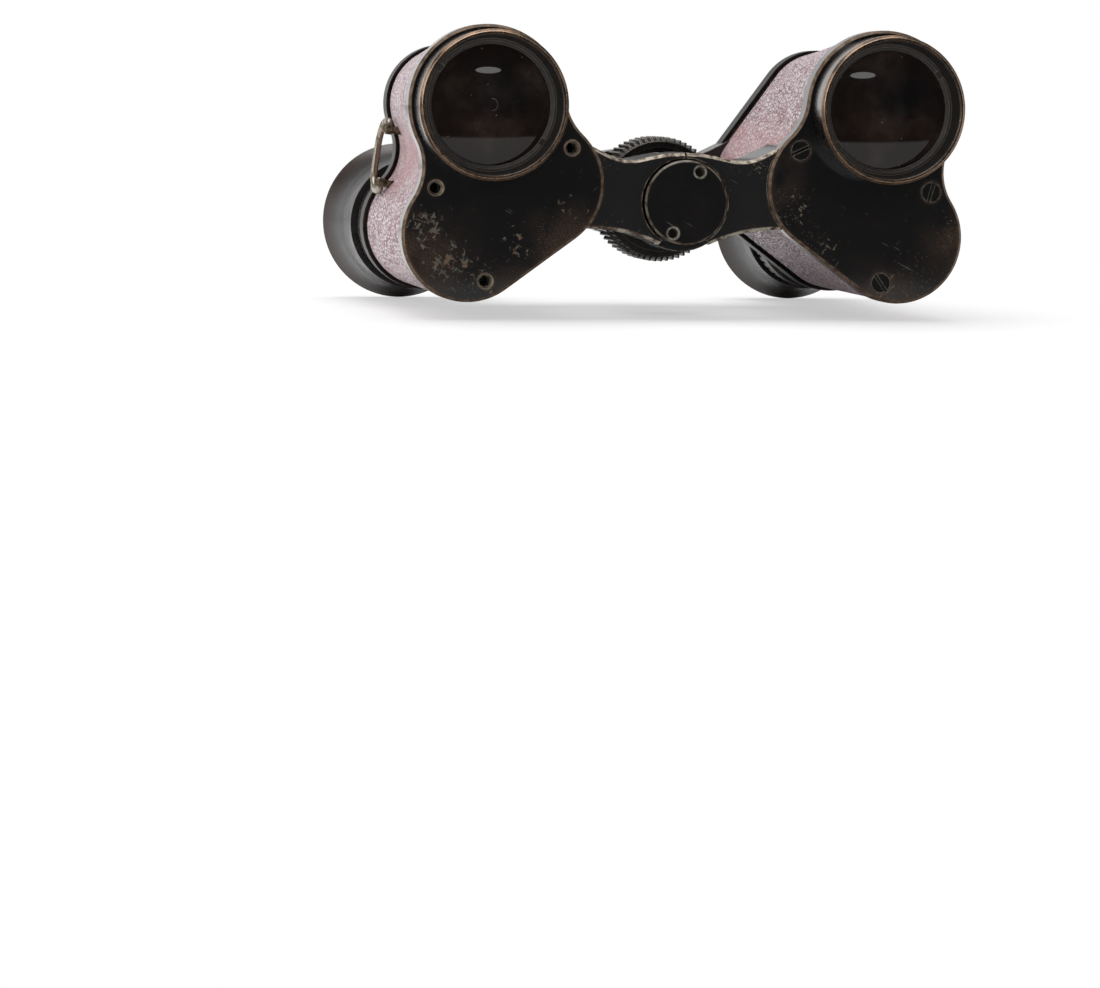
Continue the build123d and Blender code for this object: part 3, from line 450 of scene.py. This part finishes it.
# ---- chemically blackened brass
def blackened(name, bright=0.5, edge=0.22, chips=0.38):
    """Matt black finish on brass, polished brown where fingers rub."""
    s = Shader(name)
    clouds = s.noise(3 * MM, detail=4)
    ragged = s.noise(0.5 * MM, detail=4, rough=0.65)
    rubbed = s.times(s.corners(edge * MM), s.ramp(ragged, chips, chips + 0.2))
    rubbed = s.times(rubbed, bright)
    film = s.mix(s.ramp(clouds, 0.35, 0.7), (0.010, 0.010, 0.011), (0.028, 0.023, 0.019))
    polished = (0.36, 0.29, 0.20)
    s.set(Base_Color=s.mix(rubbed, film, polished), Metallic=s.blend(rubbed, 0.35, 0.9))
    s.set(Roughness=s.ramp(ragged, 0.3, 0.7, 0.26, 0.42), Normal=s.bump(ragged, 0.01 * MM, 0.5))
    return s.material


wear(blackened("blackened_wheel", 0.85, 0.18, 0.30), "focus_wheel")
wear(
    blackened("blackened_fittings"),
    "focus_wheel_cover",
    "front_thrust_sleeve",
    "rear_thrust_sleeve",
    "bridge_nut",
)
wear(
    blackened("blackened_tubes", 0.8),
    *both_sides("eyepiece_tube"),
    "right_eyepiece_sleeve",
    "right_dioptre_ring",
)
wear(blackened("blackened_stops", 0.1), *both_sides("field_stop"))


def objective_ring(side):
    """Lacquered ring: bronze front rubbed bright at its edges, with a painted highlight line on its
    front, black sides and a grey bore."""
    s = Shader(f"{side}_objective_ring")
    low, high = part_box(f"{side}_objective_cell")
    outer = (high.x - low.x) / 2
    depth = s.minus(s.axis("Y"), low.y)
    distance = s.radius((low + high) / 2)
    ragged = s.noise(0.9 * MM, detail=4, rough=0.65)
    waver = s.plus(depth, s.times(s.noise(6 * MM, detail=3), 1.2 * MM))
    rim = s.ramp(waver, 0.95 * MM, 1.25 * MM, 1.0, 0.0)
    bore = s.ramp(distance, outer - 0.84 * MM, outer - 0.78 * MM, 1.0, 0.0)
    bright = s.times(s.corners(0.14 * MM, 0.85, 0.99), s.ramp(ragged, 0.30, 0.5))
    # painted highlight: a pale line where the front's bevel meets its flat
    painted_crest_highlight = s.ramp(distance, outer - 0.54 * MM, outer - 0.46 * MM)
    painted_crest_highlight = s.times(painted_crest_highlight, s.ramp(distance, outer - 0.40 * MM, outer - 0.32 * MM, 1.0, 0.0))
    painted_crest_highlight = s.times(painted_crest_highlight, s.ramp(ragged, 0.30, 0.55, 0.35, 1.0))
    shade = s.ramp(s.noise(4 * MM, detail=4, rough=0.6), 0.36, 0.64)
    bronze = s.mix(shade, (0.070, 0.045, 0.032), (0.23, 0.135, 0.082))
    bronze = s.mix(bright, bronze, (0.50, 0.39, 0.28))
    film = s.mix(s.noise(4 * MM), (0.003, 0.003, 0.004), (0.010, 0.008, 0.007))
    grey = s.mix(ragged, (0.009, 0.0085, 0.008), (0.024, 0.021, 0.019))
    colour = s.mix(rim, film, bronze)
    colour = s.mix(bore, colour, grey)
    edges = s.times(bright, s.ramp(depth, 0.5 * MM, 1.0 * MM, 1.0, 0.0))
    colour = s.mix(edges, colour, (0.42, 0.33, 0.24))
    # the painted highlight's pale colour, laid on that line
    colour = s.mix(s.times(painted_crest_highlight, rim), colour, (0.62, 0.50, 0.38))
    s.set(Base_Color=colour, Metallic=s.times(rim, s.ramp(bore, 0, 1, 0.9, 0.0)))
    s.set(Roughness=s.blend(bore, s.ramp(ragged, 0.3, 0.7, 0.22, 0.36), 0.42))
    s.set(Coat_Weight=s.times(s.minus(1.0, rim), s.ramp(bore, 0, 1, 0.9, 0.2)))
    s.set(Coat_Roughness=0.10, Normal=s.bump(ragged, 0.008 * MM, 0.5))
    return s.material


for side in SIDES:
    wear(objective_ring(side), f"{side}_objective_cell")


def matt_lacquer():
    """Dull black lacquer with worn edges."""
    s = Shader("matt_black_lacquer")
    grain = s.noise(0.3 * MM, detail=4)
    clouds = s.noise(3 * MM, detail=3)
    colour = s.mix(clouds, (0.018, 0.017, 0.016), (0.040, 0.034, 0.030))
    s.set(Base_Color=s.mix(s.corners(0.12 * MM, 0.86, 0.998), colour, (0.30, 0.24, 0.18)))
    s.set(Roughness=s.ramp(grain, 0.3, 0.7, 0.45, 0.65), Normal=s.bump(grain, 0.01 * MM, 0.6))
    return s.material


wear(matt_lacquer(), *both_sides("objective_retaining_ring"))


# ---- glass
def glass(name, tint, depth, dust, ior=1.53, shadow=None):
    """Optical glass with dust and stains over a dark layer of painted shade that stands for the unlit
    inside; depth is how much of it is that painted shade, and shadow is the (point, reach) where the
    painted shade is deepest."""
    s = Shader(name)
    grains = s.ramp(s.cells(1.3 * MM), 0.05, 0.085, 1.0, 0.0)
    gate = s.ramp(s.noise(3 * MM, detail=3), 0.50, 0.60)
    haze = s.ramp(s.noise(7 * MM, detail=4, rough=0.6), 0.35, 0.85)
    s.set(Base_Color=tint, Roughness=0.0, IOR=ior, Transmission_Weight=1.0)
    # the dark layer's colour: painted shade of the unlit inside, clouded with stains
    stain = s.mix(haze, (0.0085, 0.0060, 0.0054), (0.0150, 0.0098, 0.0082))
    if shadow:
        stain = s.mix(s.near(*shadow, 0.25), stain, (0.0040, 0.0038, 0.0044))
    # a dark sheet of painted shade, mixed over the clear glass by depth
    dark = s.fill_named(s.add("ShaderNodeBsdfPrincipled"), Base_Color=stain, Roughness=0.0, IOR=ior)
    powder = s.mix(haze, (0.40, 0.22, 0.13), (0.5, 0.46, 0.42))
    powder = s.fill_named(s.add("ShaderNodeBsdfDiffuse"), Color=powder)
    share = s.times(s.highest(s.times(grains, gate), s.times(haze, 0.07)), dust)
    s.surface(s.overlay(share, s.overlay(depth, s.bsdf.outputs[0], dark), powder))
    return s.material


for side in SIDES:
    crown_lens = f"{side}_objective_crown_lens"
    shadow = spot_on(crown_lens, 0.58, 0.60), 7.5 * MM
    wear(glass(f"{side}_crown_glass", (0.97, 0.95, 0.93), 0.99, 0.65, shadow=shadow), crown_lens)
wear(glass("eye_glass", (0.97, 0.96, 0.95), 0.4, 0.3), *both_sides("eye_lens"))
wear(
    glass("inner_glass", (0.90, 0.86, 0.80), 0.3, 0.1, ior=1.05),
    *both_sides("objective_flint_lens", "field_lens"),
)
wear(glass("prism_glass", (0.80, 0.85, 0.80), 0.3, 0.2), *both_sides("front_prism", "rear_prism"))


# ---- pebbled leather
def leather(side):
    """Long-grain burgundy leather: narrow dark grooves along the barrel, between pebbles whose rubbed
    tops are pale, partly with bloom and partly with painted sheen, and have a shine of their own."""
    s = Shader(f"{side}_pebbled_leather")
    low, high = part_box(f"{side}_leather")
    lean = 14
    grooves = s.cells(0.66 * MM, "DISTANCE_TO_EDGE", s.turn((lean, 0, 0), (0.9, 0.36, 1.0)))
    creases = s.noise(0.46 * MM, detail=2, rough=0.45, place=s.turn((-lean, 0, 0), (0.9, 0.20, 1.0)))
    fine = s.noise(0.16 * MM, detail=3)
    clouds = s.noise(6 * MM, detail=5, rough=0.65)
    waver = s.times(s.minus(s.noise(0.5 * MM, detail=3), 0.5), 0.22)
    grooves = s.plus(grooves, waver)
    groove = s.ramp(grooves, 0.04, 0.19, 1.0, 0.0)
    pebble = s.ramp(grooves, 0.0, 0.40)
    crease = s.ramp(creases, 0.42, 0.475, 1.0, 0.0)
    rubbed = s.ramp(s.noise(2.2 * MM, detail=3), 0.35, 0.6, 0.75, 1.0)
    waist = s.near_height(low.z + 0.52 * (high.z - low.z), 9 * MM)
    soft = s.minus(1.0, s.times(waist, 0.35))
    dark = s.highest(groove, s.times(crease, 0.7))
    dark = s.times(s.times(dark, rubbed), soft)
    # pale tops whose paleness is partly painted sheen; red where the leather is bare, and more red in the
    # hollow waist as painted shade
    bloom_and_sheen = s.mix(s.noise(1.6 * MM, detail=4), (0.58, 0.42, 0.46), (0.88, 0.76, 0.82))
    red = s.mix(s.noise(2.0 * MM, detail=4), (0.46, 0.105, 0.095), (0.64, 0.25, 0.235))
    depth = s.minus(s.axis("Y"), low.y)
    # painted shade: redder in the hollow waist, most towards the leather's front end
    front_edge = s.ramp(depth, 0.0, 6 * MM, 0.55, 0.0)
    waist_painted_shade = s.plus(s.times(waist, 0.30), s.times(front_edge, waist))
    # red tone in clouds, with the painted shade of the waist added to it
    red_tone_and_shade = s.ramp(s.plus(clouds, waist_painted_shade), 0.42, 0.88)
    colour = s.mix(s.times(red_tone_and_shade, 0.85), bloom_and_sheen, red)
    # deep red stains round the lugs
    stains = [s.near(point, reach * 1.15, 0.35) for point, reach in lugs]
    stain = s.times(s.highest(*stains), s.ramp(s.noise(1.0 * MM, detail=4), 0.42, 0.58))
    colour = s.mix(s.times(stain, 0.8), colour, (0.30, 0.045, 0.040))
    colour = s.mix(dark, colour, s.mix(red_tone_and_shade, (0.135, 0.056, 0.064), (0.125, 0.028, 0.028)))
    colour = s.mix(s.times(s.corners(0.35 * MM), 0.7), colour, (0.15, 0.05, 0.045))
    s.set(Base_Color=colour, Roughness=s.blend(dark, 0.32, 0.95), Specular_IOR_Level=0.45)
    s.set(Sheen_Weight=0.3, Sheen_Roughness=0.30, Sheen_Tint=(1.0, 0.95, 1.0))
    s.set(Coat_Weight=s.minus(1.0, dark), Coat_Roughness=0.25, Coat_IOR=1.8)
    relief = s.plus(s.minus(pebble, s.times(dark, 0.4)), s.times(fine, 0.15))
    grain = s.bump(relief, 0.12 * MM)
    s.set(Normal=grain, Coat_Normal=grain)
    return s.material


for side in SIDES:
    wear(leather(side), f"{side}_leather")


# ---- ebonite eyecups
def ebonite():
    """Turned hard rubber: faint lathe lines, browned where light and hands reach."""
    s = Shader("ebonite")
    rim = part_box("left_eyecup")[1].y
    toward_rim = s.ramp(s.axis("Y"), rim - 7 * MM, rim + 1 * MM)
    clouds = s.noise(5 * MM, detail=4)
    lathe = s.noise(0.35 * MM, detail=2, place=s.turn((0, 0, 0), (0.02, 1, 0.02)))
    black = s.mix(clouds, (0.010, 0.0095, 0.0105), (0.021, 0.018, 0.018))
    brown = s.mix(clouds, (0.030, 0.019, 0.014), (0.050, 0.030, 0.021))
    colour = s.mix(s.times(toward_rim, 0.8), black, brown)
    rubbed = s.times(s.corners(0.25 * MM), s.ramp(s.noise(1.0 * MM, detail=4), 0.36, 0.6))
    s.set(Base_Color=s.mix(s.times(rubbed, 0.6), colour, (0.16, 0.13, 0.11)))
    s.set(Roughness=s.ramp(clouds, 0.3, 0.7, 0.24, 0.36))
    s.set(Normal=s.bump(s.plus(lathe, s.times(clouds, 0.5)), 0.012 * MM, 0.5))
    return s.material


wear(ebonite(), *both_sides("eyecup"))


# ---- small metal
def worn_metal(name, bright, dull, metallic=1.0):
    """Metal with dull tarnish in patches."""
    s = Shader(name)
    stains = s.ramp(s.noise(2.0 * MM, detail=5, rough=0.65), 0.42, 0.60)
    fine = s.noise(0.25 * MM, detail=3)
    s.set(Base_Color=s.mix(stains, bright, dull), Metallic=metallic)
    s.set(Roughness=s.blend(stains, 0.28, 0.50), Normal=s.bump(fine, 0.008 * MM, 0.6))
    return s.material


wear(
    worn_metal("nickelled_wire", (0.34, 0.30, 0.235), (0.085, 0.066, 0.045), 0.85),
    *both_sides("strap_bail"),
)
wear(
    worn_metal("oiled_steel", (0.42, 0.42, 0.42), (0.20, 0.18, 0.16)),
    "hinge_tube",
    "focus_rod",
    "focus_key",
)
wear(worn_metal("spring_brass", (0.58, 0.42, 0.20), (0.28, 0.18, 0.09)), *both_sides("prism_straps"))


def cover_screws():
    """Blued steel heads whose rims and slots are worn pale."""
    s = Shader("blued_screws")
    ragged = s.noise(0.6 * MM, detail=4, rough=0.7)
    rubbed = s.times(s.corners(0.20 * MM, 0.86, 0.998), s.ramp(ragged, 0.30, 0.5))
    blue = s.mix(s.noise(1.0 * MM, detail=4), (0.003, 0.003, 0.004), (0.014, 0.012, 0.011))
    s.set(Base_Color=s.mix(rubbed, blue, (0.36, 0.33, 0.28)), Metallic=0.5)
    s.set(Roughness=s.ramp(ragged, 0.3, 0.7, 0.28, 0.46), Normal=s.bump(ragged, 0.01 * MM, 0.6))
    return s.material


wear(cover_screws(), "right_front_cover_screws", *both_sides("rear_cover_screws"))


# ---- studio
def studio_world():
    """White behind and beside the object, dim in front, as a camera room is."""
    world = bpy.data.worlds.new("studio")
    world.use_nodes = True
    room = Nodes(world.node_tree, "Generated")
    front = room.ramp(room.axis("Y"), -0.70, -0.05, 0.03, 1.0)
    above = room.ramp(room.axis("Z"), 0.12, 0.55, 1.0, 0.22)
    mirrored = room.times(front, above)
    rays = room.add("ShaderNodeLightPath").outputs
    level = room.blend(rays["Is Glossy Ray"], 0.62, mirrored)
    level = room.blend(rays["Is Transmission Ray"], level, mirrored)
    level = room.blend(rays["Is Camera Ray"], level, 1.0)
    room.fill_named(world.node_tree.nodes["Background"], Color=WHITE, Strength=level)
    bpy.context.scene.world = world


def pale_table():
    """Matt board that looks brighter further out, from a painted glow that only the camera sees, until it
    merges with the white behind it.
    """
    s = Shader("pale_table")
    board = s.mix(s.noise(0.2, detail=2), (0.86, 0.86, 0.865), (0.89, 0.89, 0.89))
    s.set(Base_Color=board, Roughness=0.7, Specular_IOR_Level=0.2)
    rays = s.add("ShaderNodeLightPath").outputs
    glow = s.fill_named(s.add("ShaderNodeEmission"), Color=WHITE)
    distance = s.vectors("LENGTH", s.place)["Value"]
    glowing = s.ramp(distance, 0.12, 0.42, 0.50, 1.0)
    # painted glow: to camera rays a share of the board is emission
    lit = s.overlay(s.times(rays["Is Camera Ray"], glowing), s.bsdf.outputs[0], glow)
    # the room in front of the table's middle is dim to anything that mirrors it
    dim = s.fill_named(s.add("ShaderNodeBsdfDiffuse"), Color=(0.042, 0.030, 0.026))
    place = s.axis("Y")
    far = s.ramp(place, -0.175, -0.150, 1.0, 0.0)
    close = s.times(s.ramp(place, -0.13, -0.05), s.ramp(place, -0.035, -0.02, 0.75, 0.0))
    between = s.ramp(place, -0.06, -0.05, 0.5, 0.0)
    share = s.times(rays["Is Glossy Ray"], s.highest(far, close, between))
    s.surface(s.overlay(share, lit, dim))
    return s.material


def put_in_scene(name, data):
    thing = bpy.data.objects.new(name, data)
    bpy.context.scene.collection.objects.link(thing)
    return thing


def floor():
    """The table top, from under the camera to far behind the object."""
    half, near, far = 3.0, -0.9, 4.0
    mesh = bpy.data.meshes.new("floor")
    outline = [(-half, near, 0), (half, near, 0), (half, far, 0), (-half, far, 0)]
    mesh.from_pydata(outline, [], [(0, 1, 2, 3)])
    mesh.materials.append(pale_table())
    put_in_scene("floor", mesh)


def area_lamp(name, place, size, power, shape="RECTANGLE"):
    """A lamp that shines on the hinge."""
    data = bpy.data.lights.new(name, "AREA")
    data.shape = shape
    data.size, data.size_y = size
    data.energy = power
    lamp = put_in_scene(name, data)
    lamp.location = place
    beam = Vector((0, 0, hinge_height)) - Vector(place)
    lamp.rotation_euler = beam.to_track_quat("-Z", "Y").to_euler()


def camera():
    """Seen from in front and a little to the left, level with the glass, through a long lens."""
    data = bpy.data.cameras.new("camera")
    data.lens = 128.95
    data.sensor_width = 36
    data.sensor_fit = "HORIZONTAL"
    data.clip_start, data.clip_end = 0.01, 20
    eye = put_in_scene("camera", data)
    tilt, roll, turn = radians(84.201), radians(-0.789), radians(-11.086)
    eye.rotation_euler = tilt, roll, turn
    eye.location = Vector((-149.68, -677.87, 37.60)) * MM
    bpy.context.scene.camera = eye


studio_world()
floor()
area_lamp("overhead", (-0.10, 0.10, 0.75), (0.9, 0.7), 5.5)
area_lamp("strip", (0.12, -1.00, 0.27), (0.18, 0.045), 0.05, "ELLIPSE")
area_lamp("left_fill", (-0.8, -0.25, 0.35), (0.5, 0.5), 1.6)
camera()
bpy.context.scene.view_settings.view_transform = "Standard"
